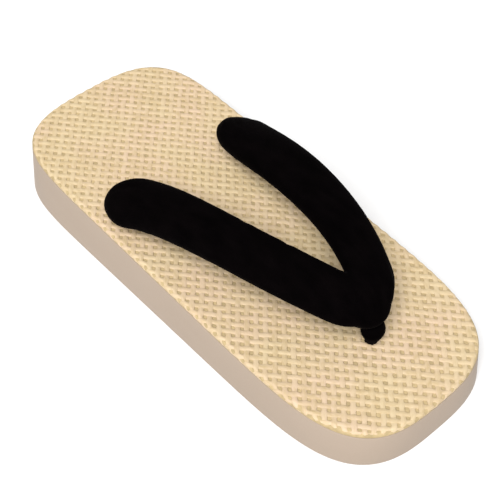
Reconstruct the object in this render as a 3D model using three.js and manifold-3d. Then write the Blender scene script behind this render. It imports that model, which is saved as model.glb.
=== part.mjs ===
// A geta sandal with a woven mat and a padded thong strap, in millimetres.
// +X points to the toe, +Y to the wearer's left and +Z up. The floor is z = 0, and the
// origin is on the floor under the middle of the sole.

import * as THREE from 'three';
import { mergeVertices } from 'three/addons/utils/BufferGeometryUtils.js';
import Module from 'manifold-3d';

const wasm = await Module();
wasm.setup();

// Sole: its top outline, the incline of the mat and the flare of the block down to the floor
const SOLE = {
  length: 255,
  width: 103,
  heelHeight: 34.5,
  toeHeight: 22,
  heelFlare: 3.6,
  toeFlare: 1.6,
  sideFlare: 1.8,
};

// The outline is |x/a|^along + |y/b|^across = 1, with squarer corners at the heel
const CORNERS = {
  heel: { along: 9, across: 3 },
  toe: { along: 5.9, across: 3 },
};

// Side of the block, from the floor to its top edge: rise is the share of the wall's height,
// inset the step in from the flared wall
const BLOCK_PROFILE = [
  { rise: 0, inset: 1.6 },
  { rise: 0.016, inset: 0.7 },
  { rise: 0.05, inset: 0.15 },
  { rise: 0.1, inset: 0 },
  { rise: 0.97, inset: 0 },
  { rise: 1, inset: 0.6 },
];

// Rim of the mat, from its lower face to its top: drop is the depth under the mat's top
const MAT_THICKNESS = 3;
const MAT_PROFILE = [
  { drop: MAT_THICKNESS, inset: 0.7 },
  { drop: 2.6, inset: 0.2 },
  { drop: 2, inset: 0 },
  { drop: 1.3, inset: 0 },
  { drop: 0.6, inset: 0.4 },
  { drop: 0.2, inset: 1.1 },
  { drop: 0, inset: 2.2 },
];

// Middle line of the strap's left arm, as control points from its rear end to the nose: x and y on the
// sole, rise above the mat
const ARM_LINE = [
  { at: 'back', x: -54.6, y: 41.4, rise: 3.6 },
  { at: 'quarter', x: -28.6, y: 28.6, rise: 12.7 },
  { at: 'waist', x: -19, y: 31, rise: 22 },
  { at: 'instep', x: 45.5, y: 29.5, rise: 36.5 },
  { at: 'nose', x: 86.5, y: 2, rise: 20.4 },
];

// Padded section of the arm at its back, middle and nose; tilt lowers the outer edge
const ARM_SECTIONS = [
  { at: 'back', width: 26.8, thickness: 15, tilt: 27.6 },
  { at: 'middle', width: 27.8, thickness: 12.4, tilt: 4.2 },
  { at: 'nose', width: 21.7, thickness: 12, tilt: 25 },
];
const ARM = {
  squareness: 2.35,
  backShare: 0.17,
  noseShare: 0.08,
  tip: 0.1,
  sides: 20,
};

// Up to this rise over the mat, the sides of an arm are drawn in so that they round under: share is what is
// left of its width at the mat
const TUCK = { rise: 4.6, share: 0.7 };

// Root of each arm: the narrow part that goes straight down from its rear end through the mat into the block
const ROOT = {
  x: -46,
  y: 40.5,
  alongRadius: 4.5,
  acrossRadius: 3.2,
  depth: 11,
  top: 5,
  sides: 20,
};

// Nose: the rounded padding that fills the fork where the two arms meet
const NOSE = {
  x: 81,
  rise: 18,
  halfLength: 9.5,
  halfWidth: 11,
  halfHeight: 7.5,
  sides: 20,
  levels: 12,
};

// Toe thong: a padded bulb that narrows down to its socket in the block and is hollowed to fit under the nose
const THONG = {
  x: 85.75,
  depth: 11,
  sides: 24,
};
const THONG_PROFILE = [
  { rise: -THONG.depth, alongRadius: 2.6, acrossRadius: 2.8 },
  { rise: 0, alongRadius: 2.8, acrossRadius: 3 },
  { rise: 2, alongRadius: 3.5, acrossRadius: 3.8 },
  { rise: 4, alongRadius: 4.4, acrossRadius: 4.7 },
  { rise: 6, alongRadius: 5.2, acrossRadius: 5.6 },
  { rise: 8, alongRadius: 5.6, acrossRadius: 6 },
  { rise: 10, alongRadius: 5.2, acrossRadius: 5.6 },
  { rise: 13, alongRadius: 4, acrossRadius: 4.4 },
];

const CLEARANCE = 0.3;
const OUTLINE_STEPS = 112;
const OUTLINE_SAMPLES = 1000;

// Side of the left arm that faces away from the foot
const OUTWARD = new THREE.Vector3(0, 1, 0);

// Height of the mat's top over the floor, on a straight incline from heel to toe
function topHeight(x) {
  return THREE.MathUtils.mapLinear(x, -SOLE.length / 2, SOLE.length / 2, SOLE.heelHeight, SOLE.toeHeight);
}

function signedPower(value, power) {
  return Math.sign(value) * Math.abs(value) ** power;
}

// A point of the sole's outline: flare is 0 at the mat and 1 at the floor
function outlinePoint(angle, flare, inset) {
  const forward = Math.cos(angle);
  const corner = forward < 0 ? CORNERS.heel : CORNERS.toe;
  const endFlare = forward < 0 ? SOLE.heelFlare : SOLE.toeFlare;
  const halfLength = SOLE.length / 2 + endFlare * flare - inset;
  const halfWidth = SOLE.width / 2 + SOLE.sideFlare * flare - inset;
  return new THREE.Vector2(
    halfLength * signedPower(forward, 2 / corner.along),
    halfWidth * signedPower(Math.sin(angle), 2 / corner.across),
  );
}

// Angles round the outline, close together both on its straight sides and in its corners
function closeAngles() {
  const half = [];
  for (let i = 0; i <= OUTLINE_SAMPLES; i += 1) {
    const share = i / OUTLINE_SAMPLES;
    for (const [end, turn] of [[CORNERS.toe, (angle) => angle], [CORNERS.heel, (angle) => Math.PI - angle]]) {
      half.push(turn(Math.acos(share ** (end.along / 2))), turn(Math.asin(share ** (end.across / 2))));
    }
  }
  half.sort((first, second) => first - second);
  return [...half, ...half.map((angle) => 2 * Math.PI - angle).reverse()];
}

// Angles that space the outline's points evenly along its edge
function evenAngles() {
  const angles = closeAngles();
  const points = angles.map((angle) => outlinePoint(angle, 0, 0));
  const run = [0];
  for (let i = 1; i < points.length; i += 1) run.push(run[i - 1] + points[i].distanceTo(points[i - 1]));
  const stride = run.at(-1) / OUTLINE_STEPS;
  const angleAt = (wanted) => angles[run.findIndex((length) => length >= wanted)];
  return Array.from({ length: OUTLINE_STEPS }, (_, step) => angleAt(step * stride));
}
const OUTLINE_ANGLES = evenAngles();

// A closed solid through a stack of rings with the same number of points
function loft(rings) {
  const sides = rings[0].length;
  const points = rings.flat();
  const index = [];
  for (let ring = 0; ring < rings.length - 1; ring += 1) {
    for (let i = 0; i < sides; i += 1) {
      const here = ring * sides + i;
      const next = ring * sides + ((i + 1) % sides);
      index.push(here, next, next + sides, here, next + sides, here + sides);
    }
  }
  for (const ring of [0, rings.length - 1]) {
    const middle = points.length;
    const centre = new THREE.Vector3();
    rings[ring].forEach((point) => centre.addScaledVector(point, 1 / sides));
    points.push(centre);
    for (let i = 0; i < sides; i += 1) {
      const here = ring * sides + i;
      const next = ring * sides + ((i + 1) % sides);
      index.push(middle, ...(ring === 0 ? [next, here] : [here, next]));
    }
  }
  return new THREE.BufferGeometry().setFromPoints(points).setIndex(index);
}

// Moves a solid made over a level mat onto the inclined one
function seat(geometry) {
  const seated = geometry.clone();
  const position = seated.getAttribute('position');
  for (let i = 0; i < position.count; i += 1) {
    position.setZ(i, position.getZ(i) + topHeight(position.getX(i)));
  }
  return seated;
}

function toSolid(geometry) {
  const bare = geometry.clone();
  bare.deleteAttribute('normal');
  bare.deleteAttribute('uv');
  const merged = mergeVertices(bare);
  return new wasm.Manifold(new wasm.Mesh({
    numProp: 3,
    vertProperties: new Float32Array(merged.getAttribute('position').array),
    triVerts: new Uint32Array(merged.getIndex().array),
  }));
}

function toGeometry(solid) {
  const mesh = solid.getMesh();
  const geometry = new THREE.BufferGeometry();
  geometry.setAttribute('position', new THREE.BufferAttribute(mesh.vertProperties, 3));
  geometry.setIndex(new THREE.BufferAttribute(mesh.triVerts, 1));
  return geometry;
}

function cut(geometry, tools) {
  return toGeometry(tools.reduce((solid, tool) => solid.subtract(toSolid(tool)), toSolid(geometry)));
}

// Point on a curve of control points, by repeated halving of its polygon at share t
function curvePoint(controls, t) {
  let level = controls;
  while (level.length > 1) {
    level = level.slice(1).map((point, i) => level[i].clone().lerp(point, t));
  }
  return level[0];
}

class ArmLine extends THREE.Curve {
  constructor() {
    super();
    this.controls = ARM_LINE.map((row) => new THREE.Vector3(row.x, row.y, row.rise));
  }

  getPoint(t, target = new THREE.Vector3()) {
    return target.copy(curvePoint(this.controls, t));
  }
}
const armLine = new ArmLine();

// A value of the arm's section at share t, through its back, middle and nose values
function sectionValue(column, t) {
  const [back, middle, nose] = ARM_SECTIONS.map((row) => row[column]);
  const bend = 2 * middle - (back + nose) / 2;
  return back * (1 - t) ** 2 + 2 * bend * t * (1 - t) + nose * t ** 2;
}

// The section closes as a rounded end at the back and at the nose
function endShare(t) {
  const intoBack = Math.max(1 - t / ARM.backShare, 0);
  const intoNose = Math.max((t - 1 + ARM.noseShare) / ARM.noseShare, 0);
  const rounded = Math.sqrt(Math.max(1 - Math.max(intoBack, intoNose) ** 2, 0));
  return Math.max(rounded, ARM.tip);
}

// A point of the arm's side, drawn in towards its middle line where it lies low
function tucked(point, centre) {
  const low = 1 - THREE.MathUtils.clamp(point.z / TUCK.rise, 0, 1);
  const drawn = (1 - TUCK.share) * (1 - Math.sqrt(1 - low ** 2));
  return point.addScaledVector(point.clone().sub(centre).setZ(0), -drawn);
}

// One padded section of the left arm, grown outwards by a clearance
function armRing(t, grow) {
  const along = armLine.getTangent(t);
  const across = OUTWARD.clone().projectOnPlane(along).normalize();
  across.applyAxisAngle(along, -THREE.MathUtils.degToRad(sectionValue('tilt', t)));
  const thick = new THREE.Vector3().crossVectors(along, across);
  const halfWidth = (sectionValue('width', t) * endShare(t)) / 2 + grow;
  const halfThickness = (sectionValue('thickness', t) * endShare(t)) / 2 + grow;
  const centre = armLine.getPoint(t);
  return Array.from({ length: ARM.sides }, (_, i) => {
    const angle = (2 * Math.PI * i) / ARM.sides;
    const point = centre.clone()
      .addScaledVector(across, halfWidth * signedPower(Math.cos(angle), 2 / ARM.squareness))
      .addScaledVector(thick, halfThickness * signedPower(Math.sin(angle), 2 / ARM.squareness));
    return tucked(point, centre);
  });
}

// Shares along the arm, close together at its two rounded ends
function armShares() {
  const steps = { back: 12, span: 20, nose: 6 };
  const shares = [];
  for (let i = 0; i < steps.back; i += 1) shares.push(ARM.backShare * (i / steps.back) ** 2);
  const spanShare = 1 - ARM.backShare - ARM.noseShare;
  for (let i = 0; i < steps.span; i += 1) shares.push(ARM.backShare + spanShare * (i / steps.span));
  for (let i = 0; i <= steps.nose; i += 1) {
    shares.push(1 - ARM.noseShare * (1 - Math.sin((Math.PI / 2) * (i / steps.nose))));
  }
  return shares;
}

function mirrored(rings) {
  return rings.map((ring) => ring.map((point) => point.clone().setY(-point.y)).reverse());
}

function bothSides(rings) {
  return [loft(rings), loft(mirrored(rings))];
}

function armBodies(grow) {
  return bothSides(armShares().map((t) => armRing(t, grow)));
}

function noseBody(grow) {
  const ball = new THREE.SphereGeometry(1, NOSE.sides, NOSE.levels).rotateX(Math.PI / 2);
  ball.scale(NOSE.halfLength + grow, NOSE.halfWidth + grow, NOSE.halfHeight + grow);
  return ball.translate(NOSE.x, 0, NOSE.rise);
}

// A level oval ring, the section of a root or of the toe thong
function ovalRing(x, y, rise, alongRadius, acrossRadius, sides) {
  return Array.from({ length: sides }, (_, i) => {
    const angle = (2 * Math.PI * i) / sides;
    return new THREE.Vector3(x + alongRadius * Math.cos(angle), y + acrossRadius * Math.sin(angle), rise);
  });
}

function armRoots(grow) {
  return bothSides([-ROOT.depth - grow, ROOT.top].map((rise) => ovalRing(
    ROOT.x, ROOT.y, rise, ROOT.alongRadius + grow, ROOT.acrossRadius + grow, ROOT.sides,
  )));
}

// A block that reaches from under the mat to a height above it
function slabUpTo(rise) {
  const depth = 60;
  const slab = new THREE.BoxGeometry(2 * SOLE.length, 2 * SOLE.width, depth);
  return slab.translate(0, 0, rise - depth / 2);
}

// The padded strap: two arms joined at the nose, flat where they press on the mat, with their roots
function strapGeometry() {
  const [left, right, nose] = [...armBodies(0), noseBody(0)].map(toSolid);
  const padded = left.add(right).add(nose).subtract(toSolid(slabUpTo(CLEARANCE)));
  return toGeometry(armRoots(0).reduce((solid, root) => solid.add(toSolid(root)), padded));
}

function thongRings(grow) {
  return THONG_PROFILE.map((row, level) => ovalRing(
    THONG.x,
    0,
    row.rise - (level === 0 ? grow : 0),
    row.alongRadius + grow,
    row.acrossRadius + grow,
    THONG.sides,
  ));
}

// The toe thong, its top hollowed to fit under the strap's nose
function thongGeometry() {
  return cut(loft(thongRings(0)), [...armBodies(CLEARANCE), noseBody(CLEARANCE)]);
}

// What the strap and the thong need to pass through the mat and into the block
function socketTools() {
  return [...armRoots(CLEARANCE), loft(thongRings(CLEARANCE))];
}

function matGeometry() {
  const rings = MAT_PROFILE.map(({ drop, inset }) => OUTLINE_ANGLES.map((angle) => {
    const edge = outlinePoint(angle, 0, inset);
    return new THREE.Vector3(edge.x, edge.y, -drop);
  }));
  return cut(loft(rings), socketTools());
}

function blockGeometry() {
  const topDrop = MAT_THICKNESS + CLEARANCE;
  const rings = BLOCK_PROFILE.map(({ rise, inset }) => OUTLINE_ANGLES.map((angle) => {
    const edge = outlinePoint(angle, 1 - rise, inset);
    return new THREE.Vector3(edge.x, edge.y, rise * (topHeight(edge.x) - topDrop));
  }));
  return cut(loft(rings), socketTools().map(seat));
}

function piece(name, geometry, material) {
  geometry.computeVertexNormals();
  const mesh = new THREE.Mesh(geometry, new THREE.MeshStandardMaterial(material));
  mesh.name = name;
  return mesh;
}

const sandal = new THREE.Group();
sandal.add(
  piece('base', blockGeometry(), { color: 0xc9b7a6, roughness: 0.55, metalness: 0 }),
  piece('mat', seat(matGeometry()), { color: 0xe0c49c, roughness: 0.7, metalness: 0 }),
  piece('strap', seat(strapGeometry()), { color: 0x0b090a, roughness: 0.9, metalness: 0 }),
  piece('toe_thong', seat(thongGeometry()), { color: 0x0b090a, roughness: 0.9, metalness: 0 }),
);

// The heel flares more than the toe, so the sole's middle on the floor lies behind the mat's
sandal.position.x = (SOLE.heelFlare - SOLE.toeFlare) / 2;

const part = new THREE.Group();
part.add(sandal);

export default part;
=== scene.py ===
"""Dresses a geta sandal: foam block, woven straw mat, padded velvet strap and toe thong.

Lengths are in metres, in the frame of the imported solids: +X points to the toe, +Y to the wearer's
left and +Z up. The floor is z = 0.
"""

import math
import random
from typing import NamedTuple

import bmesh
import bpy
from bpy.props import FloatProperty, FloatVectorProperty, IntProperty, PointerProperty
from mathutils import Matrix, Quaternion, Vector
from mathutils.kdtree import KDTree


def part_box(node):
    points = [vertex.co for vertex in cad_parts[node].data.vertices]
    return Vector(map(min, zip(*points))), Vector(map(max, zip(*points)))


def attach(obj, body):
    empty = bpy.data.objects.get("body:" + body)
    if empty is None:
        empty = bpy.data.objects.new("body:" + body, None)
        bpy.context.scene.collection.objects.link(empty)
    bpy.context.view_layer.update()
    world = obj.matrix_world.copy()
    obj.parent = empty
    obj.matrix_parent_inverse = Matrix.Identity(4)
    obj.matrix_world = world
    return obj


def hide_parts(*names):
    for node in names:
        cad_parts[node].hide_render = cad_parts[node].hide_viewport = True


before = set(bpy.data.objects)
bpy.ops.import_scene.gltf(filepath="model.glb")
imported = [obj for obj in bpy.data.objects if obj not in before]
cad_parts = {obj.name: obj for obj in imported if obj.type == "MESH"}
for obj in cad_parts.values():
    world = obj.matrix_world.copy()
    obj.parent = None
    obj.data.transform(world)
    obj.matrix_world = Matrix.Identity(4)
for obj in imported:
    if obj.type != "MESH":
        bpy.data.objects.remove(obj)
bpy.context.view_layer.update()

bl_info = {
    "name": "Geta Sandal",
    "version": (1, 0, 0),
    "blender": (4, 5, 0),
    "location": "3D View > Sidebar > Sandal",
    "description": "Foam block, woven straw mat, padded velvet strap and toe thong of a geta sandal",
    "category": "Object",
}

MAT_LOW, MAT_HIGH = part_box("mat")
UP = Vector((0.0, 0.0, 1.0))

# Points closer than this are one point
STRAND_WELD = 1e-7
SOLID_WELD = 1e-6

# Edges of the block and of the backing that turn by more than this are sharp
BLOCK_SHARP = math.radians(45.0)
BACKING_SHARP = math.radians(40.0)
SOCKET_SIDES = 40


class SidePoint(NamedTuple):
    """A row of the block's side: rise is a share of the wall's height, inset a step in from it."""

    rise: float
    inset: float


BLOCK_SIDE = (
    SidePoint(rise=0.0, inset=0.0016),
    SidePoint(rise=0.006, inset=0.0010),
    SidePoint(rise=0.018, inset=0.0005),
    SidePoint(rise=0.04, inset=0.00018),
    SidePoint(rise=0.08, inset=0.0),
    SidePoint(rise=0.965, inset=0.0),
    SidePoint(rise=0.985, inset=0.00015),
    SidePoint(rise=1.0, inset=0.0006),
)


class RimPoint(NamedTuple):
    """A row of the mat's backing: rise over the mat's top, and inset from the mat's outline."""

    rise: float
    inset: float


class Socket(NamedTuple):
    """An oval hole through the mat into the block, for a root of the strap or for the thong."""

    x: float
    y: float
    along: float
    across: float


SOCKETS = (
    Socket(x=-0.0450, y=0.0405, along=0.0048, across=0.0035),
    Socket(x=-0.0450, y=-0.0405, along=0.0048, across=0.0035),
    Socket(x=0.08675, y=0.0, along=0.0031, across=0.0033),
)


class ArmPoint(NamedTuple):
    """A control point of the left arm's middle line: place on the sole and rise above the mat."""

    x: float
    y: float
    rise: float


ARM_LINE = (
    ArmPoint(x=-0.0536, y=0.0414, rise=0.0036),
    ArmPoint(x=-0.0276, y=0.0286, rise=0.0127),
    ArmPoint(x=-0.0180, y=0.0310, rise=0.0220),
    ArmPoint(x=0.0465, y=0.0295, rise=0.0365),
    ArmPoint(x=0.0875, y=0.0020, rise=0.0204),
)


class ArmSection(NamedTuple):
    """The padded section of the arm: tilt lowers its outer edge."""

    width: float
    thickness: float
    tilt: float


ARM_SECTIONS = (
    ArmSection(width=0.0268, thickness=0.0150, tilt=math.radians(27.6)),
    ArmSection(width=0.0278, thickness=0.0124, tilt=math.radians(4.2)),
    ArmSection(width=0.0217, thickness=0.0120, tilt=math.radians(25.0)),
)
ARM_BACK_SHARE = 0.17


class Crease(NamedTuple):
    """A soft trough on the left arm, from one place to another and mirrored on the right arm.

    Shares run along the arm from its rounded end to the nose. Turns run round its section, in degrees:
    0 is the outer edge, 90 the top, 180 the inner edge and 270 the underside.
    """

    from_share: float
    from_turn: float
    to_share: float
    to_turn: float
    width: float
    depth: float


STRAP_CREASES = (
    Crease(from_share=0.24, from_turn=268, to_share=0.93, to_turn=268, width=0.0008, depth=0.0006),
    Crease(from_share=0.045, from_turn=62, to_share=0.15, to_turn=58, width=0.0011, depth=0.00035),
    Crease(from_share=0.050, from_turn=100, to_share=0.19, to_turn=108, width=0.0012, depth=0.00040),
    Crease(from_share=0.045, from_turn=146, to_share=0.14, to_turn=154, width=0.0011, depth=0.00035),
    Crease(from_share=0.60, from_turn=170, to_share=0.66, to_turn=122, width=0.0013, depth=0.00030),
    Crease(from_share=0.74, from_turn=172, to_share=0.79, to_turn=118, width=0.0013, depth=0.00035),
    Crease(from_share=0.90, from_turn=55, to_share=0.985, to_turn=35, width=0.0012, depth=0.00045),
    Crease(from_share=0.91, from_turn=100, to_share=0.99, to_turn=80, width=0.0012, depth=0.00040),
)


class Ridge(NamedTuple):
    """The low ridges beside a crease: height as a share of its depth, place and reach in its widths."""

    height: float
    place: float
    reach: float


CREASE_RIDGE = Ridge(height=0.3, place=2.2, reach=5.0)


class Gather(NamedTuple):
    """The gathers of the toe thong, where its velvet is drawn together.

    Count round it, depth, the rise over the mat where they start and end, how uneven their spacing is
    and how narrow they are.
    """

    count: int
    depth: float
    low: float
    high: float
    uneven: float
    narrow: int


THONG_GATHER = Gather(count=9, depth=0.00032, low=0.0, high=0.009, uneven=0.8, narrow=3)


class Sway(NamedTuple):
    """How a strand strays and swells along its run.

    Slow, quick and swell are waves, in radians for each crossing. The shares give the height of the
    quick wave beside the slow one, and of the swell. Narrowest and widest are shares of the usual width.
    """

    slow: float
    quick: float
    quick_share: float
    swell: float
    swell_share: float
    narrowest: float
    widest: float


STRAND_SWAY = Sway(
    slow=0.9, quick=2.3, quick_share=0.6, swell=1.7, swell_share=0.08, narrowest=0.93, widest=1.05
)


class SoleSizes(bpy.types.PropertyGroup):
    """Sizes of the block and of the mat's outline."""

    length: FloatProperty(
        name="Length", description="Length of the mat", default=MAT_HIGH.x - MAT_LOW.x, unit="LENGTH"
    )
    width: FloatProperty(
        name="Width", description="Width of the mat", default=MAT_HIGH.y - MAT_LOW.y, unit="LENGTH"
    )
    middle: FloatProperty(
        name="Middle", description="Middle of the mat along the sole",
        default=(MAT_LOW.x + MAT_HIGH.x) / 2, unit="LENGTH",
    )
    heel_height: FloatProperty(
        name="Heel height", description="Mat's top over the floor at the heel",
        default=0.0345, unit="LENGTH",
    )
    toe_height: FloatProperty(
        name="Toe height", description="Mat's top over the floor at the toe",
        default=0.022, unit="LENGTH",
    )
    heel_flare: FloatProperty(
        name="Heel flare", description="How far the heel widens to the floor",
        default=0.0036, unit="LENGTH",
    )
    toe_flare: FloatProperty(
        name="Toe flare", description="How far the toe widens to the floor",
        default=0.0016, unit="LENGTH",
    )
    side_flare: FloatProperty(
        name="Side flare", description="How far each side widens to the floor",
        default=0.0018, unit="LENGTH",
    )
    heel_corner: FloatProperty(
        name="Heel corner", description="Squareness of the heel's corners", default=9.0
    )
    toe_corner: FloatProperty(
        name="Toe corner", description="Squareness of the toe's corners", default=5.9
    )
    side_corner: FloatProperty(
        name="Side corner", description="Squareness across the sole", default=3.0
    )
    mat_thickness: FloatProperty(
        name="Mat thickness", description="Thickness of the mat with its backing",
        default=0.003, unit="LENGTH",
    )
    seam: FloatProperty(
        name="Seam", description="Gap between the block and the mat", default=0.0006, unit="LENGTH"
    )
    socket_depth: FloatProperty(
        name="Socket depth", description="Depth of the sockets under the mat's top",
        default=0.0113, unit="LENGTH",
    )
    steps: IntProperty(name="Steps", description="Points around the outline", default=288)


class WeaveSizes(bpy.types.PropertyGroup):
    """Sizes of the straw weave, which lies on the bias."""

    half_length: FloatProperty(
        name="Half length", description="Step along the sole from one pit to the next row",
        default=0.0031, unit="LENGTH",
    )
    half_width: FloatProperty(
        name="Half width", description="Step across the sole from one pit to the next row",
        default=0.00285, unit="LENGTH",
    )
    strand_width: FloatProperty(
        name="Strand width", description="Width of a straw strand", default=0.00318, unit="LENGTH"
    )
    strand_thickness: FloatProperty(
        name="Strand thickness", description="Thickness of a straw strand",
        default=0.00085, unit="LENGTH",
    )
    wave: FloatProperty(
        name="Wave", description="How far a strand rises and falls as it goes over and under",
        default=0.00009, unit="LENGTH",
    )
    pinch: FloatProperty(
        name="Pinch",
        description="Share by which a strand narrows from a crossing to the middle between two",
        default=0.18,
    )
    wander: FloatProperty(
        name="Wander", description="How far a strand strays to the side", default=0.00016, unit="LENGTH"
    )
    rim_radius: FloatProperty(
        name="Rim radius", description="Radius of the mat's rolled rim", default=0.002, unit="LENGTH"
    )
    backing_depth: FloatProperty(
        name="Backing depth", description="Depth of the backing under the tops of the strands",
        default=0.0005, unit="LENGTH",
    )
    rim_depth: FloatProperty(
        name="Rim depth", description="Depth of the backing under the strands at the rim",
        default=0.0002, unit="LENGTH",
    )
    tuck: FloatProperty(
        name="Tuck", description="Height at which the strands end over the mat's lower face",
        default=0.0002, unit="LENGTH",
    )
    around: IntProperty(name="Around", description="Faces around a strand", default=8)
    steps: IntProperty(
        name="Steps", description="Faces along a strand from one crossing to the next", default=6
    )
    seed: IntProperty(name="Seed", description="Start of the strands' small differences", default=7)


class PaddingSizes(bpy.types.PropertyGroup):
    """Sizes and settings of the padded velvet."""

    strap_voxel: FloatProperty(
        name="Strap voxel", description="Face size of the strap before it is swelled",
        default=0.0014, unit="LENGTH",
    )
    thong_voxel: FloatProperty(
        name="Thong voxel", description="Face size of the thong before it is swelled",
        default=0.0006, unit="LENGTH",
    )
    strap_rounds: IntProperty(name="Strap rounds", description="Rounds that relax the strap", default=9)
    thong_rounds: IntProperty(name="Thong rounds", description="Rounds that relax the thong", default=3)
    regrow: FloatProperty(
        name="Regrow", description="How far the strap's skin is moved back out after it is relaxed",
        default=0.0005, unit="LENGTH",
    )
    clearance: FloatProperty(
        name="Clearance", description="Gap between the velvet and the mat",
        default=0.00025, unit="LENGTH",
    )
    pressure: FloatProperty(
        name="Pressure", description="Pressure that swells the padding", default=6.0
    )
    frames: IntProperty(name="Frames", description="Frames of the swelling", default=20)
    strap_cap: FloatProperty(
        name="Strap cap", description="Furthest that a point of the strap may swell",
        default=0.0010, unit="LENGTH",
    )
    thong_cap: FloatProperty(
        name="Thong cap", description="Furthest that a point of the thong may swell",
        default=0.0003, unit="LENGTH",
    )


class FinishColours(bpy.types.PropertyGroup):
    """Colours of the finishes."""

    block: FloatVectorProperty(
        name="Block", description="Foam of the block", subtype="COLOR", default=(0.405, 0.323, 0.255)
    )
    block_shade: FloatVectorProperty(
        name="Block shade", description="Darker tone of the foam", subtype="COLOR",
        default=(0.372, 0.292, 0.226),
    )
    straw: FloatVectorProperty(
        name="Straw", description="Light straw", subtype="COLOR", default=(0.668, 0.527, 0.324)
    )
    straw_deep: FloatVectorProperty(
        name="Deep straw", description="Darker straw", subtype="COLOR", default=(0.556, 0.415, 0.225)
    )
    straw_pink: FloatVectorProperty(
        name="Pink straw", description="Straw where it is a little redder", subtype="COLOR",
        default=(0.685, 0.514, 0.352),
    )
    # The backing is darker than the straw partly as the cloth's own tone and partly as painted shade in
    # the pits of the weave
    backing: FloatVectorProperty(
        name="Backing", description="Cloth under the straw", subtype="COLOR",
        default=(0.540, 0.412, 0.222),
    )
    velvet: FloatVectorProperty(
        name="Velvet", description="Velvet pile", subtype="COLOR", default=(0.0010, 0.0007, 0.0008)
    )
    velvet_light: FloatVectorProperty(
        name="Brushed velvet", description="Velvet pile that is brushed up", subtype="COLOR",
        default=(0.0026, 0.0018, 0.0020),
    )
    floor: FloatVectorProperty(
        name="Floor", description="Pale floor", subtype="COLOR", default=(0.90, 0.90, 0.90)
    )


class StageSizes(bpy.types.PropertyGroup):
    """Camera, light and floor."""

    camera_place: FloatVectorProperty(
        name="Camera place", description="Where the camera stands", subtype="XYZ",
        default=(0.2710, -0.2390, 0.4261),
    )
    camera_aim: FloatVectorProperty(
        name="Camera aim", description="Point that the camera looks at", subtype="XYZ",
        default=(0.0075, -0.0020, 0.0190),
    )
    lens: FloatProperty(name="Lens", description="Focal length in millimetres", default=80.0)
    sky: FloatProperty(name="Sky", description="Strength of the light from all round", default=0.40)
    key_power: FloatProperty(name="Key power", description="Power of the key light", default=182.0)
    key_size: FloatProperty(
        name="Key size", description="Side of the key light", default=2.2, unit="LENGTH"
    )
    key_place: FloatVectorProperty(
        name="Key place", description="Where the key light hangs", subtype="XYZ",
        default=(1.25, -1.80, 3.20),
    )
    floor_size: FloatProperty(
        name="Floor size", description="Half of the floor's side", default=20.0, unit="LENGTH"
    )


class Value:
    """A shader value. Python operators on it add Math nodes to its finish."""

    def __init__(self, finish, socket):
        self.finish = finish
        self.socket = socket

    def math(self, operation, first, second):
        node = self.finish.node("ShaderNodeMath", {"operation": operation}, {0: first, 1: second})
        return Value(self.finish, node.outputs[0])

    def __add__(self, other):
        return self.math("ADD", self, other)

    def __radd__(self, other):
        return self.math("ADD", other, self)

    def __sub__(self, other):
        return self.math("SUBTRACT", self, other)

    def __rsub__(self, other):
        return self.math("SUBTRACT", other, self)

    def __mul__(self, other):
        return self.math("MULTIPLY", self, other)

    def __rmul__(self, other):
        return self.math("MULTIPLY", other, self)

    def __truediv__(self, other):
        return self.math("DIVIDE", self, other)

    def __rtruediv__(self, other):
        return self.math("DIVIDE", other, self)

    def __pow__(self, other):
        return self.math("POWER", self, other)

    def __rpow__(self, other):
        return self.math("POWER", other, self)


class Finish:
    """A material in the making: one shader and the nodes that feed it."""

    def __init__(self, name, constants):
        self.material = bpy.data.materials.new(name)
        self.material.use_nodes = True
        self.tree = self.material.node_tree
        self.tree.nodes.clear()
        self.shader = self.node("ShaderNodeBsdfPrincipled", {}, constants)
        self.node("ShaderNodeOutputMaterial", {}, {"Surface": self.shader.outputs["BSDF"]})

    def node(self, kind, settings, sockets):
        """Add a node: its settings first, then the values or links of its sockets."""
        node = self.tree.nodes.new(kind)
        for name, setting in settings.items():
            setattr(node, name, setting)
        for key, value in sockets.items():
            self.feed(self.find(node.inputs, key), value)
        return node

    @staticmethod
    def find(sockets, key):
        """A socket by number, by identifier or by name."""
        if isinstance(key, int):
            return sockets[key]
        named = [socket for socket in sockets if socket.identifier == key]
        return named[0] if named else sockets[key]

    def feed(self, socket, value):
        """Link a value into a socket, or set it as a constant."""
        if isinstance(value, Value):
            value = value.socket
        if isinstance(value, bpy.types.NodeSocket):
            self.tree.links.new(value, socket)
        else:
            socket.default_value = value

    def place(self, scale):
        """Object coordinates, scaled along each axis."""
        coordinates = self.node("ShaderNodeTexCoord", {}, {})
        return self.scaled(coordinates.outputs["Object"], scale)

    def scaled(self, vector, scale):
        sockets = {"Vector": vector, "Scale": scale}
        mapping = self.node("ShaderNodeMapping", {"vector_type": "POINT"}, sockets)
        return mapping.outputs["Vector"]

    def noise(self, vector, scale, detail):
        node = self.node("ShaderNodeTexNoise", {}, {"Vector": vector, "Scale": scale, "Detail": detail})
        return Value(self, node.outputs[0])

    def attribute(self, name):
        node = self.node("ShaderNodeAttribute", {"attribute_name": name}, {})
        return Value(self, node.outputs["Fac"])

    def clamped(self, value, low, high):
        """A value mapped from low..high to 0..1 and held there."""
        node = self.node(
            "ShaderNodeMapRange", {"clamp": True}, {"Value": value, "From Min": low, "From Max": high}
        )
        return Value(self, node.outputs["Result"])

    def mix(self, factor, first, second):
        """A colour between two colours."""
        node = self.node(
            "ShaderNodeMix",
            {"data_type": "RGBA", "clamp_factor": True},
            {"Factor_Float": factor, "A_Color": first, "B_Color": second},
        )
        return self.find(node.outputs, "Result_Color")

    def bump(self, height, strength, distance):
        sockets = {"Height": height, "Strength": strength, "Distance": distance}
        node = self.node("ShaderNodeBump", {}, sockets)
        self.feed(self.shader.inputs["Normal"], node.outputs["Normal"])

    def feed_shader(self, sockets):
        for name, value in sockets.items():
            self.feed(self.shader.inputs[name], value)
        return self.material


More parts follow.
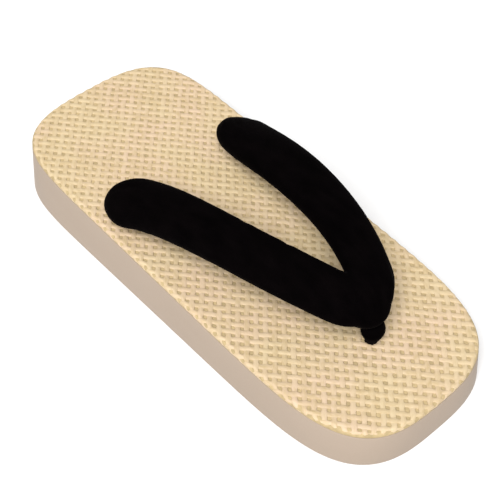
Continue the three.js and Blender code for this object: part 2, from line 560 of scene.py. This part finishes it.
# The scale of a noise that is the same along each axis, and the value about which a noise varies
EVEN = (1.0, 1.0, 1.0)
NOISE_MIDDLE = 0.5


def between(value, least, most):
    """A number that runs from least to most as a shader value runs from 0 to 1."""
    return least + value * (most - least)


def tinted(colour, factor):
    """A colour made paler or darker by a factor."""
    return tuple(min(channel * factor, 1.0) for channel in colour)


def opaque(colour):
    """A colour property as the four numbers that a colour socket takes."""
    return (*colour, 1.0)


def foam_finish(colours):
    """Smooth moulded foam: a satin skin with fine pores and faint clouds."""
    finish = Finish("block_foam", {"Specular IOR Level": 0.35, "IOR": 1.45})
    clouds = finish.noise(finish.place((22.0, 22.0, 60.0)), scale=1.0, detail=3.0)
    pores = finish.noise(finish.place(EVEN), scale=1500.0, detail=2.0)
    swirl = finish.noise(finish.place(EVEN), scale=90.0, detail=2.0)
    cloud_share, pore_share, start = 0.9, 0.25, -0.15
    shade = clouds * cloud_share + pores * pore_share + start
    pore_height, swirl_height = 0.7, 0.5
    finish.bump(pores * pore_height + swirl * swirl_height, strength=0.12, distance=0.0002)
    return finish.feed_shader({
        "Base Color": finish.mix(shade, opaque(colours.block), opaque(colours.block_shade)),
        "Roughness": between(pores, least=0.46, most=0.62),
    })


def straw_finish(colours):
    """Split straw: fibres along each strand, strands of differing tone, pinker and yellower patches."""
    finish = Finish("mat_straw", {"Specular IOR Level": 0.4})
    strand = finish.node("ShaderNodeUVMap", {"uv_map": "strand"}, {}).outputs["UV"]
    fibres = finish.noise(finish.scaled(strand, (150.0, 3000.0, 1.0)), scale=1.0, detail=3.0)
    flecks = finish.noise(finish.scaled(strand, (330.0, 520.0, 1.0)), scale=1.0, detail=2.0)
    patches = finish.noise(finish.place(EVEN), scale=34.0, detail=4.0)
    tone = finish.attribute("tone")
    warm = finish.mix(
        finish.clamped(patches, low=0.40, high=0.62), opaque(colours.straw), opaque(colours.straw_pink)
    )
    fibre_share, fleck_share, tone_share, start = 1.1, 2.0, 0.22, 0.30
    streaks = (fibres - NOISE_MIDDLE) * fibre_share + (flecks - NOISE_MIDDLE) * fleck_share
    depth = streaks + tone * tone_share + start
    finish.bump(fibres, strength=0.35, distance=0.00025)
    return finish.feed_shader({
        "Base Color": finish.mix(depth, warm, opaque(colours.straw_deep)),
        "Roughness": between(fibres, least=0.5, most=0.8),
    })


def backing_finish(colours):
    """Coarse cloth that shows in the pits of the weave, paler in some pits than in others, its colour
    darkened as painted shade in the pits.
    """
    finish = Finish("mat_backing_cloth_and_pit_shade", {"Specular IOR Level": 0.2})
    threads = finish.noise(finish.place(EVEN), scale=1800.0, detail=2.0)
    spots = finish.noise(finish.place(EVEN), scale=330.0, detail=1.0)
    pits = finish.clamped(spots, low=0.36, high=0.64)
    thread_share = 0.3
    finish.bump(threads, strength=0.4, distance=0.0003)
    # Base colour: the cloth's own tone darkened as painted shade in the pits; the paler and darker tints
    # vary at random from pit to pit
    return finish.feed_shader({
        "Base Color": finish.mix(
            threads * thread_share + pits * (1.0 - thread_share),
            opaque(tinted(colours.backing, factor=1.06)),
            opaque(tinted(colours.backing, factor=0.76)),
        ),
        "Roughness": between(threads, least=0.8, most=0.95),
    })


def velvet_finish(colours):
    """Black velvet: a deep pile with brushed patches and a soft sheen where it turns away."""
    finish = Finish(
        "velvet_pile",
        {
            "Specular IOR Level": 0.006,
            "Sheen Weight": 0.014,
            "Sheen Roughness": 0.32,
            "Sheen Tint": (0.62, 0.55, 0.56, 1.0),
        },
    )
    pile = finish.noise(finish.place(EVEN), scale=2600.0, detail=2.0)
    brushed = finish.noise(finish.place((70.0, 150.0, 150.0)), scale=1.0, detail=4.0)
    brushed_height = 0.4
    finish.bump(pile + brushed * brushed_height, strength=0.5, distance=0.00035)
    brushed_share, pile_share = 0.7, 0.5
    light = finish.clamped(brushed * brushed_share + pile * pile_share, low=0.45, high=0.85)
    return finish.feed_shader({
        "Base Color": finish.mix(light, opaque(colours.velvet), opaque(colours.velvet_light)),
        "Roughness": between(pile, least=0.84, most=0.98),
    })


def floor_finish(colours):
    """Pale matt floor."""
    finish = Finish("pale_floor", {"Roughness": 0.9, "Specular IOR Level": 0.1})
    clouds = finish.noise(finish.place(EVEN), scale=3.0, detail=2.0)
    paler = tinted(colours.floor, factor=1.02)
    return finish.feed_shader({"Base Color": finish.mix(clouds, opaque(colours.floor), opaque(paler))})


def new_piece(name, mesh):
    """Link a mesh to the scene as a new object at the origin."""
    mesh.name = name
    piece = bpy.data.objects.new(name, mesh)
    bpy.context.scene.collection.objects.link(piece)
    return piece


def piece_from(bm, name):
    """Turn a bmesh into a new object with smooth faces."""
    for face in bm.faces:
        face.smooth = True
    mesh = bpy.data.meshes.new(name)
    bm.to_mesh(mesh)
    bm.free()
    return new_piece(name, mesh)


def settle(piece):
    """Put the effect of a piece's modifiers into its mesh, and take the modifiers off."""
    bpy.context.view_layer.update()
    graph = bpy.context.evaluated_depsgraph_get()
    mesh = bpy.data.meshes.new_from_object(piece.evaluated_get(graph))
    before = piece.data
    piece.modifiers.clear()
    piece.data = mesh
    mesh.name = piece.name
    bpy.data.meshes.remove(before)


def dress(piece, node, material):
    """Give a piece its finish and its place in the frame, and hide the solid that it stands for."""
    piece.data.materials.clear()
    piece.data.materials.append(material)
    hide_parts(node)
    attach(piece, "root")


def signed_power(value, power):
    return math.copysign(abs(value) ** power, value)


def top_height(sole, x):
    """Height of the mat's top over the floor, on a straight incline from heel to toe."""
    share = (x - sole.middle) / sole.length + 0.5
    return sole.heel_height + share * (sole.toe_height - sole.heel_height)


def outline_point(sole, angle, flare, inset):
    """A point of the sole's outline: flare is 0 at the mat and 1 at the floor."""
    forward = math.cos(angle)
    corner = sole.heel_corner if forward < 0.0 else sole.toe_corner
    end_flare = sole.heel_flare if forward < 0.0 else sole.toe_flare
    half_length = sole.length / 2 + end_flare * flare - inset
    half_width = sole.width / 2 + sole.side_flare * flare - inset
    return Vector((
        sole.middle + half_length * signed_power(forward, 2.0 / corner),
        half_width * signed_power(math.sin(angle), 2.0 / sole.side_corner),
    ))


def outline_angles(sole, samples):
    """Angles round the outline, close together both on its straight sides and in its corners."""
    half = set()
    for number in range(samples + 1):
        share = number / samples
        side = math.asin(share ** (sole.side_corner / 2.0))
        toe = math.acos(share ** (sole.toe_corner / 2.0))
        heel = math.pi - math.acos(share ** (sole.heel_corner / 2.0))
        half.update((side, math.pi - side, toe, heel))
    upper = sorted(half)
    return upper + [math.tau - angle for angle in reversed(upper[1:-1])] + [math.tau]


def even_angles(sole, count):
    """Angles that space the outline's points evenly along its edge."""
    angles = outline_angles(sole, 2 * count)
    points = [outline_point(sole, angle, 0.0, 0.0) for angle in angles]
    run = [0.0]
    for here, following in zip(points, points[1:]):
        run.append(run[-1] + (following - here).length)
    even = []
    number = 1
    for step in range(count):
        wanted = run[-1] * step / count
        while run[number] < wanted:
            number += 1
        share = (wanted - run[number - 1]) / (run[number] - run[number - 1])
        even.append(angles[number - 1] + share * (angles[number] - angles[number - 1]))
    return even


def loft(count, rows, place):
    """A closed solid with a ring for each row, where place(number, row) gives a ring's points."""
    bm = bmesh.new()
    step = bm.verts.layers.int.new("step")
    ring = bmesh.ops.create_circle(bm, segments=count, radius=1.0, cap_ends=False)["verts"]
    for number, vert in enumerate(ring):
        vert[step] = number
        vert.co = place(number, rows[0])
    lower = list(bm.edges)
    upper = lower
    for row in rows[1:]:
        made = bmesh.ops.extrude_edge_only(bm, edges=upper)["geom"]
        verts = {item for item in made if isinstance(item, bmesh.types.BMVert)}
        for vert in verts:
            vert.co = place(vert[step], row)
        upper = [edge for edge in bm.edges if edge.verts[0] in verts and edge.verts[1] in verts]
    for rim in (lower, upper):
        bmesh.ops.contextual_create(bm, geom=rim)
    bmesh.ops.recalc_face_normals(bm, faces=bm.faces)
    return bm


def drill(piece, sole):
    """Cut the sockets for the strap's roots and the thong."""
    bm = bmesh.new()
    for socket in SOCKETS:
        top = top_height(sole, socket.x) + sole.mat_thickness
        floor = top_height(sole, socket.x) - sole.socket_depth
        made = bmesh.ops.create_cone(
            bm, segments=SOCKET_SIDES, radius1=1.0, radius2=1.0, depth=1.0, cap_ends=True
        )["verts"]
        bmesh.ops.scale(bm, verts=made, vec=(socket.along, socket.across, top - floor))
        bmesh.ops.translate(bm, verts=made, vec=(socket.x, socket.y, (top + floor) / 2))
    cutter = piece_from(bm, piece.name + "_cutter")
    boolean = piece.modifiers.new("sockets", "BOOLEAN")
    boolean.operation = "DIFFERENCE"
    boolean.solver = "EXACT"
    boolean.object = cutter
    settle(piece)
    cutter_mesh = cutter.data
    bpy.data.objects.remove(cutter)
    bpy.data.meshes.remove(cutter_mesh)


def make_block(sole):
    angles = even_angles(sole, sole.steps)
    top_drop = sole.mat_thickness + sole.seam

    def place(number, row):
        edge = outline_point(sole, angles[number], 1.0 - row.rise, row.inset)
        return edge.to_3d() + UP * row.rise * (top_height(sole, edge.x) - top_drop)

    block = piece_from(loft(sole.steps, BLOCK_SIDE, place), "block")
    drill(block, sole)
    block.data.set_sharp_from_angle(angle=BLOCK_SHARP)
    return block


class MatSheet:
    """The woven sheet: flat over the mat and rolled down over its rim."""

    def __init__(self, sole, weave):
        self.sole = sole
        self.radius = weave.rim_radius
        self.rolled = self.radius * math.pi / 2
        self.reach = self.rolled + sole.mat_thickness - weave.tuck - self.radius
        finer = 8
        count = finer * sole.steps
        angles = even_angles(sole, count)
        self.rim = [outline_point(sole, angle, 0.0, self.radius) for angle in angles]
        self.outward = []
        for number, before in enumerate(self.rim[-1:] + self.rim[:-1]):
            run = self.rim[(number + 1) % count] - before
            self.outward.append(Vector((run.y, -run.x)).normalized())
        self.tree = KDTree(count)
        for number, point in enumerate(self.rim):
            self.tree.insert(point.to_3d(), number)
        self.tree.balance()

    def beyond(self, flat):
        """How far a flat point lies beyond the line where the rim starts to roll, and the way out."""
        _, number, _ = self.tree.find(flat.to_3d())
        outward = self.outward[number]
        return (flat - self.rim[number]).dot(outward), outward

    def place(self, flat, lift):
        """Where a flat point of the sheet goes, lifted off its face but never below its lower edge."""
        distance, outward = self.beyond(flat)
        if distance <= 0.0:
            return flat.to_3d() + UP * (top_height(self.sole, flat.x) + lift)
        turn = min(distance / self.radius, math.pi / 2)
        edge = flat - outward * distance + outward * (self.radius + lift) * math.sin(turn)
        hang = max(min(distance, self.reach) - self.rolled, 0.0)
        drop = self.radius - (self.radius + lift) * math.cos(turn) + hang
        return edge.to_3d() + UP * (top_height(self.sole, edge.x) - drop)


class StrandLine(NamedTuple):
    """One straw strand on the flat sheet: its lattice steps, its row and whether it starts over."""

    along: Vector
    across: Vector
    row: int
    phase: int


def strand_point(sole, line, share):
    """A point of a strand's middle line, share counted in crossings."""
    return Vector((sole.middle, 0.0)) + line.along * share + line.across * (line.row + 0.5)


def strand_ends(sheet, line):
    """The shares where a strand's middle line leaves the sheet, or None if it misses the sheet."""
    span = math.ceil(sheet.sole.length / line.along.length)
    inside = [
        share for share in range(-span, span + 1)
        if sheet.beyond(strand_point(sheet.sole, line, share))[0] < sheet.reach
    ]
    if not inside:
        return None
    halvings = 14
    ends = []
    for kept, lost in ((inside[0], inside[0] - 1), (inside[-1], inside[-1] + 1)):
        for _ in range(halvings):
            share = (kept + lost) / 2
            if sheet.beyond(strand_point(sheet.sole, line, share))[0] < sheet.reach:
                kept = share
            else:
                lost = share
        ends.append(kept)
    return ends


def end_slant(sheet, line, share):
    """Crossings by which a strand's end leans for each metre across it, to end along the rim."""
    steepest = 1.3
    direction = line.along.normalized()
    sideways = Vector((-direction.y, direction.x))
    _, outward = sheet.beyond(strand_point(sheet.sole, line, share))
    facing = direction.dot(outward)
    lean = -sideways.dot(outward) * facing
    slant = math.copysign(min(abs(lean) / facing ** 2, steepest), lean) if facing else 0.0
    return slant / line.along.length


def add_strand(bm, sheet, weave, line, chance):
    """Add one strand: a grid curled into a flat tube that goes over and under the other family."""
    ends = strand_ends(sheet, line)
    if ends is None:
        return
    tone = bm.verts.layers.float["tone"]
    unwrap = bm.loops.layers.uv["strand"]
    run = ends[1] - ends[0]
    grid = bmesh.ops.create_grid(
        bm, x_segments=max(2, round(run * weave.steps)), y_segments=weave.around, size=1.0
    )["verts"]
    length = run * line.along.length
    own_tone = chance.uniform(-1.0, 1.0)
    own_place = chance.uniform(0.0, 1.0)
    girth = 2.0 * weave.strand_width
    for face in {face for vert in grid for face in vert.link_faces}:
        for loop in face.loops:
            along, around = (loop.vert.co.xy + Vector((1.0, 1.0))) / 2
            loop[unwrap].uv = (along * length + own_place, around * girth + own_place)
    sideways = Vector((-line.along.y, line.along.x)).normalized()
    slants = [end_slant(sheet, line, share) for share in ends]
    sway = [chance.uniform(0.0, math.tau) for _ in range(3)]
    half_width = weave.strand_width / 2 * chance.uniform(STRAND_SWAY.narrowest, STRAND_SWAY.widest)
    half_thickness = weave.strand_thickness / 2
    for vert in grid:
        turn = math.pi * vert.co.y
        first, last = (end + slant * half_width * math.cos(turn) for end, slant in zip(ends, slants))
        share = first + (vert.co.x + 1.0) / 2 * (last - first)
        stray = math.sin(share * STRAND_SWAY.slow + sway[0])
        stray += STRAND_SWAY.quick_share * math.sin(share * STRAND_SWAY.quick + sway[1])
        flat = strand_point(sheet.sole, line, share)
        spread = 1.0 + weave.pinch * math.cos(math.tau * (share - 0.5))
        flat += sideways * (half_width * spread * math.cos(turn) + weave.wander * stray)
        crown = weave.wave * line.phase * math.cos(math.pi * (share - 0.5 + line.row))
        swollen = 1.0 + STRAND_SWAY.swell_share * math.sin(share * STRAND_SWAY.swell + sway[2])
        lift = crown - weave.wave - half_thickness + half_thickness * swollen * math.sin(turn)
        vert.co = sheet.place(flat, lift)
        vert[tone] = own_tone


def in_socket(point):
    """Whether a point of the mat lies in the hole for a root or for the thong."""
    return any(
        ((point.x - socket.x) / socket.along) ** 2 + ((point.y - socket.y) / socket.across) ** 2 < 1.0
        for socket in SOCKETS
    )


def close_ends(bm):
    """Close the open ends of every strand."""
    rims = [edge for edge in bm.edges if edge.is_boundary]
    bmesh.ops.holes_fill(bm, edges=rims, sides=0)


def make_strands(name, sheet, weave, along, across, phase):
    """One family of strands, all running the same way."""
    bm = bmesh.new()
    bm.verts.layers.float.new("tone")
    bm.loops.layers.uv.new("strand")
    chance = random.Random(weave.seed + phase)
    rows = math.ceil(sheet.sole.length / across.length)
    for row in range(-rows, rows):
        add_strand(bm, sheet, weave, StrandLine(along, across, row, phase), chance)
    bmesh.ops.remove_doubles(bm, verts=bm.verts, dist=STRAND_WELD)
    pierced = [face for face in bm.faces if all(in_socket(vert.co) for vert in face.verts)]
    bmesh.ops.delete(bm, geom=pierced, context="FACES")
    close_ends(bm)
    bmesh.ops.recalc_face_normals(bm, faces=bm.faces)
    return piece_from(bm, name)


def make_backing(sole, weave):
    """The cloth under the straw: a slab with a rolled rim, a little inside the woven sheet."""
    angles = even_angles(sole, sole.steps)
    height = weave.rim_radius - weave.backing_depth
    reach = weave.rim_radius - weave.rim_depth
    turns = 5
    rows = [RimPoint(rise=-sole.mat_thickness, inset=weave.rim_depth)]
    for number in range(turns + 1):
        turn = math.pi / 2 * (1.0 - number / turns)
        rows.append(RimPoint(
            rise=height * math.cos(turn) - weave.rim_radius,
            inset=weave.rim_radius - reach * math.sin(turn),
        ))

    def place(number, row):
        edge = outline_point(sole, angles[number], 0.0, row.inset)
        return edge.to_3d() + UP * (top_height(sole, edge.x) + row.rise)

    backing = piece_from(loft(sole.steps, rows, place), "mat_backing")
    drill(backing, sole)
    backing.data.set_sharp_from_angle(angle=BACKING_SHARP)
    return backing


def padded_copy(node, name, voxel):
    """A merged copy of a solid, remeshed into small even faces."""
    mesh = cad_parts[node].data.copy()
    bm = bmesh.new()
    bm.from_mesh(mesh)
    bmesh.ops.remove_doubles(bm, verts=bm.verts, dist=SOLID_WELD)
    bm.to_mesh(mesh)
    bm.free()
    piece = new_piece(name, mesh)
    remesh = piece.modifiers.new("even_faces", "REMESH")
    remesh.mode = "VOXEL"
    remesh.voxel_size = voxel
    remesh.use_smooth_shade = True
    settle(piece)
    return piece


def soften(piece, rounds, regrow):
    """Relax a piece's faces, which rounds the creases between its forms, and move its skin back out."""
    bm = bmesh.new()
    bm.from_mesh(piece.data)
    for _ in range(rounds):
        bmesh.ops.smooth_vert(
            bm, verts=bm.verts, factor=0.5, use_axis_x=True, use_axis_y=True, use_axis_z=True
        )
    bm.normal_update()
    for vert in bm.verts:
        vert.co += vert.normal * regrow
    bm.to_mesh(piece.data)
    bm.free()


def swell(piece, padding, cap, sole):
    """Swell a piece as stuffed cloth held in its sockets, each point by no more than the cap."""
    rest = [vert.co.copy() for vert in piece.data.vertices]
    pins = piece.vertex_groups.new(name="pins")
    held = [number for number, point in enumerate(rest) if point.z < top_height(sole, point.x)]
    pins.add(held, 1.0, "REPLACE")
    settings = piece.modifiers.new("padding", "CLOTH").settings
    settings.vertex_group_mass = pins.name
    settings.use_pressure = True
    settings.uniform_pressure_force = padding.pressure
    settings.effector_weights.gravity = 0.0
    for number in range(1, padding.frames + 1):
        bpy.context.scene.frame_set(number)
    settle(piece)
    piece.vertex_groups.clear()
    for vert, start in zip(piece.data.vertices, rest):
        move = vert.co - start
        if move.length > cap:
            vert.co = start + move.normalized() * cap


def subdivide(piece):
    subsurf = piece.modifiers.new("fine_faces", "SUBSURF")
    subsurf.levels = 1
    subsurf.render_levels = 1
    settle(piece)


def keep_off_mat(piece, sole, clearance):
    """Lift what touches the mat, apart from what goes down into a socket."""
    for vert in piece.data.vertices:
        lowest = top_height(sole, vert.co.x) + clearance
        if vert.co.z < lowest and not in_socket(vert.co):
            vert.co.z = lowest


def arm_value(column, share):
    """A value of the arm's section, through its back, middle and nose values."""
    back, middle, nose = (getattr(section, column) for section in ARM_SECTIONS)
    bend = 2.0 * middle - (back + nose) / 2
    return back * (1.0 - share) ** 2 + 2.0 * bend * share * (1.0 - share) + nose * share ** 2


def arm_middle(sole, share):
    """A point of the left arm's middle line, by repeated halving of its control points."""
    level = [Vector((point.x, point.y, point.rise)) for point in ARM_LINE]
    while len(level) > 1:
        level = [here.lerp(following, share) for here, following in zip(level, level[1:])]
    return level[0] + UP * top_height(sole, level[0].x)


def arm_end(share):
    """How far the arm's section is open: it closes as a rounded end at the back."""
    into_end = max(1.0 - share / ARM_BACK_SHARE, 0.0)
    return math.sqrt(1.0 - into_end ** 2)


def arm_skin(sole, share, turn):
    """A point on the skin of the left arm."""
    step = 0.01
    along = (arm_middle(sole, share + step) - arm_middle(sole, share - step)).normalized()
    outward = Vector((0.0, 1.0, 0.0))
    across = (outward - along * outward.dot(along)).normalized()
    across.rotate(Quaternion(along, -arm_value("tilt", share)))
    thick = along.cross(across)
    angle = math.radians(turn)
    return (
        arm_middle(sole, share)
        + across * math.cos(angle) * arm_end(share) * arm_value("width", share) / 2
        + thick * math.sin(angle) * arm_end(share) * arm_value("thickness", share) / 2
    )


def crease_line(sole, crease):
    """Points along a crease, about a millimetre apart."""
    spacing = 0.001
    fewest = 4
    ends = (crease.from_share, crease.from_turn), (crease.to_share, crease.to_turn)
    run = (arm_skin(sole, *ends[0]) - arm_skin(sole, *ends[1])).length
    steps = max(fewest, round(run / spacing))
    return [
        arm_skin(sole, *(low + (high - low) * step / steps for low, high in zip(*ends)))
        for step in range(steps + 1)
    ]


def trough(distance, crease):
    """Depth of a crease at a distance from its line: a trough with a low ridge on each side."""
    share = distance / crease.width
    ridge = CREASE_RIDGE.height * math.exp(-((share - CREASE_RIDGE.place) ** 2))
    return crease.depth * (math.exp(-(share ** 2)) - ridge)


def crease_strap(piece, sole):
    """Press the creases into both arms, deepest in the middle of their run."""
    mirror = Vector((1.0, -1.0, 1.0))
    skin = [(vert.co.copy(), vert.normal.copy()) for vert in piece.data.vertices]
    sunk = [0.0] * len(skin)
    for crease in STRAP_CREASES:
        line = crease_line(sole, crease)
        tree = KDTree(len(line))
        for number, point in enumerate(line):
            tree.insert(point, number)
        tree.balance()
        for index, (point, _) in enumerate(skin):
            _, number, distance = tree.find(point if point.y > 0.0 else point * mirror)
            if distance < CREASE_RIDGE.reach * crease.width:
                fade = math.sqrt(math.sin(math.pi * (number + 0.5) / len(line)))
                sunk[index] += fade * trough(distance, crease)
    for vert, (point, normal), depth in zip(piece.data.vertices, skin, sunk):
        vert.co = point - normal * depth


def gather_thong(piece, sole):
    """Draw the thong's velvet into gathers that fade out towards its belly."""
    post = SOCKETS[-1]
    skin = [(vert.co.copy(), vert.normal.copy()) for vert in piece.data.vertices]
    for vert, (point, normal) in zip(piece.data.vertices, skin):
        rise = point.z - top_height(sole, point.x)
        if not THONG_GATHER.low < rise < THONG_GATHER.high:
            continue
        turn = math.atan2(point.y - post.y, point.x - post.x)
        share = (rise - THONG_GATHER.low) / (THONG_GATHER.high - THONG_GATHER.low)
        phase = THONG_GATHER.count * turn + THONG_GATHER.uneven * math.sin(2.0 * turn)
        wave = ((1.0 - math.cos(phase)) / 2) ** THONG_GATHER.narrow
        vert.co = point - normal * THONG_GATHER.depth * (1.0 - share) * wave


class GETA_OT_block(bpy.types.Operator):
    """Make the foam block that the mat lies on"""

    bl_idname = "geta.block"
    bl_label = "Foam block"

    def execute(self, context):
        scene = context.scene
        block = make_block(scene.geta_sole)
        dress(block, "base", foam_finish(scene.geta_colours))
        return {"FINISHED"}


class GETA_OT_mat(bpy.types.Operator):
    """Make the mat: its backing and two families of woven straw strands"""

    bl_idname = "geta.mat"
    bl_label = "Woven mat"

    def execute(self, context):
        scene = context.scene
        sole, weave, colours = scene.geta_sole, scene.geta_weave, scene.geta_colours
        dress(make_backing(sole, weave), "mat", backing_finish(colours))
        sheet = MatSheet(sole, weave)
        leftward = Vector((weave.half_length, weave.half_width))
        rightward = Vector((weave.half_length, -weave.half_width))
        straw = straw_finish(colours)
        for name, along, across, phase in (
            ("mat_strands_left", leftward, rightward, 1),
            ("mat_strands_right", rightward, leftward, -1),
        ):
            dress(make_strands(name, sheet, weave, along, across, phase), "mat", straw)
        return {"FINISHED"}


class GETA_OT_strap(bpy.types.Operator):
    """Make the padded velvet strap"""

    bl_idname = "geta.strap"
    bl_label = "Padded strap"

    def execute(self, context):
        scene = context.scene
        padding = scene.geta_padding
        strap = padded_copy("strap", "strap_padded", padding.strap_voxel)
        soften(strap, padding.strap_rounds, regrow=padding.regrow)
        swell(strap, padding, padding.strap_cap, scene.geta_sole)
        subdivide(strap)
        crease_strap(strap, scene.geta_sole)
        keep_off_mat(strap, scene.geta_sole, padding.clearance)
        dress(strap, "strap", velvet_finish(scene.geta_colours))
        return {"FINISHED"}


class GETA_OT_toe_thong(bpy.types.Operator):
    """Make the padded velvet thong that holds the strap's nose"""

    bl_idname = "geta.toe_thong"
    bl_label = "Toe thong"

    def execute(self, context):
        scene = context.scene
        padding = scene.geta_padding
        thong = padded_copy("toe_thong", "toe_thong_padded", padding.thong_voxel)
        soften(thong, padding.thong_rounds, regrow=0.0)
        swell(thong, padding, padding.thong_cap, scene.geta_sole)
        subdivide(thong)
        gather_thong(thong, scene.geta_sole)
        dress(thong, "toe_thong", bpy.data.materials["velvet_pile"])
        return {"FINISHED"}


def make_floor(stage, colours):
    bm = bmesh.new()
    bmesh.ops.create_grid(bm, x_segments=1, y_segments=1, size=stage.floor_size)
    floor = piece_from(bm, "floor")
    floor.data.materials.append(floor_finish(colours))


def aimed(name, data, place, aim):
    """Link a camera or light at a place, turned to an aim."""
    thing = bpy.data.objects.new(name, data)
    bpy.context.scene.collection.objects.link(thing)
    thing.location = place
    thing.rotation_euler = (Vector(aim) - Vector(place)).to_track_quat("-Z", "Y").to_euler()
    return thing


class GETA_OT_stage(bpy.types.Operator):
    """Set the floor, the light and the camera"""

    bl_idname = "geta.stage"
    bl_label = "Stage"

    def execute(self, context):
        scene = context.scene
        stage = scene.geta_stage
        make_floor(stage, scene.geta_colours)
        key = bpy.data.lights.new("key", "AREA")
        key.energy = stage.key_power
        key.size = stage.key_size
        aimed("key", key, stage.key_place, stage.camera_aim)
        scene.world = bpy.data.worlds.new("studio")
        scene.world.use_nodes = True
        sky = scene.world.node_tree.nodes["Background"]
        sky.inputs["Color"].default_value = (1.0, 1.0, 1.0, 1.0)
        sky.inputs["Strength"].default_value = stage.sky
        camera = bpy.data.cameras.new("camera")
        camera.lens = stage.lens
        camera.clip_start = 0.01
        scene.camera = aimed("camera", camera, stage.camera_place, stage.camera_aim)
        scene.view_settings.view_transform = "Standard"
        return {"FINISHED"}


class GETA_PT_sandal(bpy.types.Panel):
    """Lists the sandal's pieces and their sizes"""

    bl_label = "Geta Sandal"
    bl_idname = "GETA_PT_sandal"
    bl_space_type = "VIEW_3D"
    bl_region_type = "UI"
    bl_category = "Sandal"

    def draw(self, context):
        layout = self.layout
        for operator in OPERATORS:
            layout.operator(operator.bl_idname)
        for group_name in GROUPS:
            group = getattr(context.scene, group_name)
            box = layout.box()
            box.label(text=group.bl_rna.name)
            for name in group.__annotations__:
                box.prop(group, name)


GROUPS = {
    "geta_sole": SoleSizes,
    "geta_weave": WeaveSizes,
    "geta_padding": PaddingSizes,
    "geta_colours": FinishColours,
    "geta_stage": StageSizes,
}
OPERATORS = (GETA_OT_block, GETA_OT_mat, GETA_OT_strap, GETA_OT_toe_thong, GETA_OT_stage)


def register():
    for group_name, group in GROUPS.items():
        bpy.utils.register_class(group)
        setattr(bpy.types.Scene, group_name, PointerProperty(type=group))
    for operator in OPERATORS:
        bpy.utils.register_class(operator)
    bpy.utils.register_class(GETA_PT_sandal)


def unregister():
    bpy.utils.unregister_class(GETA_PT_sandal)
    for operator in reversed(OPERATORS):
        bpy.utils.unregister_class(operator)
    for group_name, group in reversed(GROUPS.items()):
        delattr(bpy.types.Scene, group_name)
        bpy.utils.unregister_class(group)


def main():
    register()
    bpy.ops.geta.block()
    bpy.ops.geta.mat()
    bpy.ops.geta.strap()
    bpy.ops.geta.toe_thong()
    bpy.ops.geta.stage()


if __name__ == "__main__":
    main()
